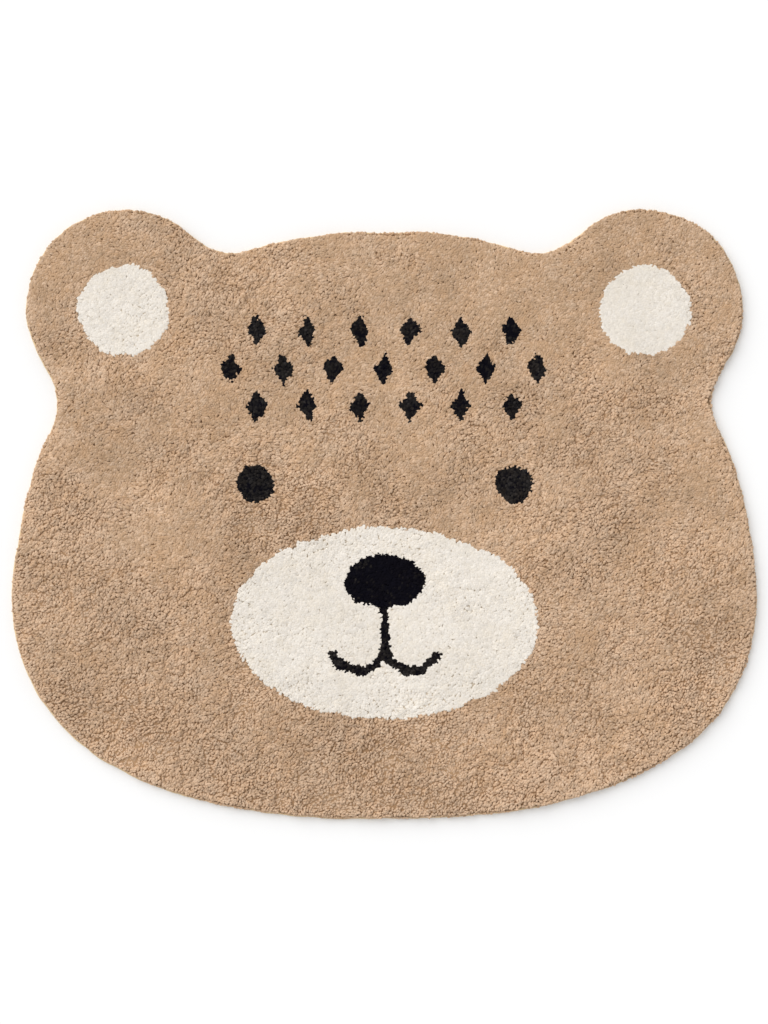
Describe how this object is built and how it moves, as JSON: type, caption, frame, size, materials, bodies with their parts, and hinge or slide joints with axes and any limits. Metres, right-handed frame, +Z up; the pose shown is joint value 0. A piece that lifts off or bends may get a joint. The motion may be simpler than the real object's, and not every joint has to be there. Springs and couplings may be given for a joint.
{
  "type": "kids rug",
  "caption": "Flat tufted kids rug shaped as a plain round-eared animal head, with short cut cotton pile on a canvas backing whose turned edge runs round it.",
  "frame": {"origin": "on the floor under the middle of the rug's box", "axes": "+X across the head, +Y towards the ears, +Z up out of the pile"},
  "size_m": [1.1, 0.9, 0.0164],
  "materials": {
    "tan_yarn": "cut cotton pile, warm tan, matt",
    "cream_yarn": "cut cotton pile, natural cream, matt",
    "black_yarn": "cut cotton pile, black, matt",
    "canvas": "plain-woven unbleached cotton canvas, matt"
  },
  "bodies": {
    "root": {"pile": "tan_yarn", "backing": "canvas"}
  },
  "joints": []
}
